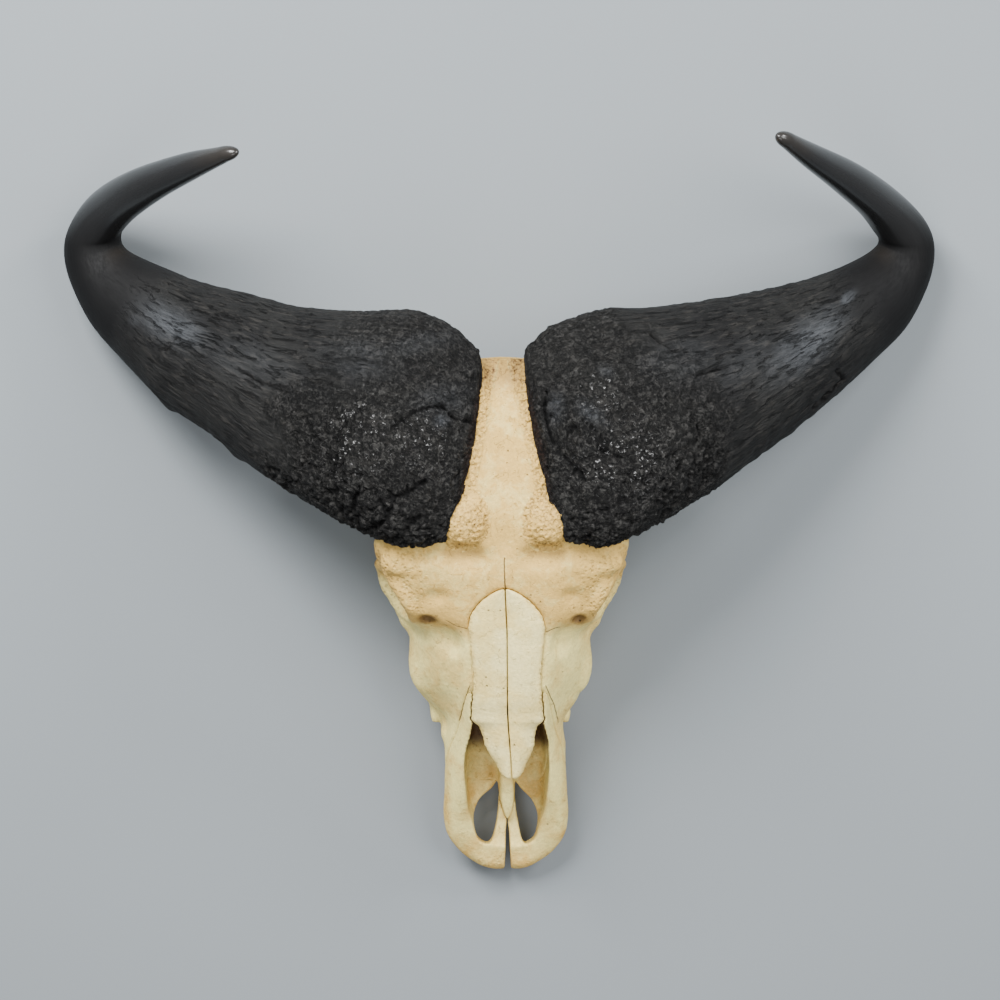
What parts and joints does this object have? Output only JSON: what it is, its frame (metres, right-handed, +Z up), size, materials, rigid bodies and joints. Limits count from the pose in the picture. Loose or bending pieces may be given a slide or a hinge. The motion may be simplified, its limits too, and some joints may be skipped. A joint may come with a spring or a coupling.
{
  "type": "buffalo skull",
  "caption": "Bleached upper skull of a cape buffalo with long open nose, cheek teeth and broad bossed dark horns that sweep out, droop and hook up, lying on its underside",
  "frame": {"origin": "on the table, under the middle of the box round the whole skull", "axes": "Z up out of the skull's roof, the side that the picture looks at; -Y towards the nose, +Y towards the back of the head and the horn tips; +X to the animal's own left, which is the picture's right. Left and right in node names are the animal's own."},
  "size_m": [0.9172, 0.7558, 0.2315],
  "materials": {
    "bone": "matte, slightly porous bleached bone",
    "nasal": "matte, smooth bleached bone",
    "tooth": "satin, stained enamel",
    "horn": "satin, crusty at the boss and polished at the tips"
  },
  "bodies": {
    "root": {"cranium": "bone", "nasal_bone_left": "nasal", "nasal_bone_right": "nasal", "incisor_bone_left": "bone", "incisor_bone_right": "bone", "horn_sheath_left": "horn", "horn_sheath_right": "horn", "premolar_2_left": "tooth", "premolar_3_left": "tooth", "premolar_4_left": "tooth", "molar_1_left": "tooth", "molar_2_left": "tooth", "molar_3_left": "tooth", "premolar_2_right": "tooth", "premolar_3_right": "tooth", "premolar_4_right": "tooth", "molar_1_right": "tooth", "molar_2_right": "tooth", "molar_3_right": "tooth"}
  },
  "joints": []
}
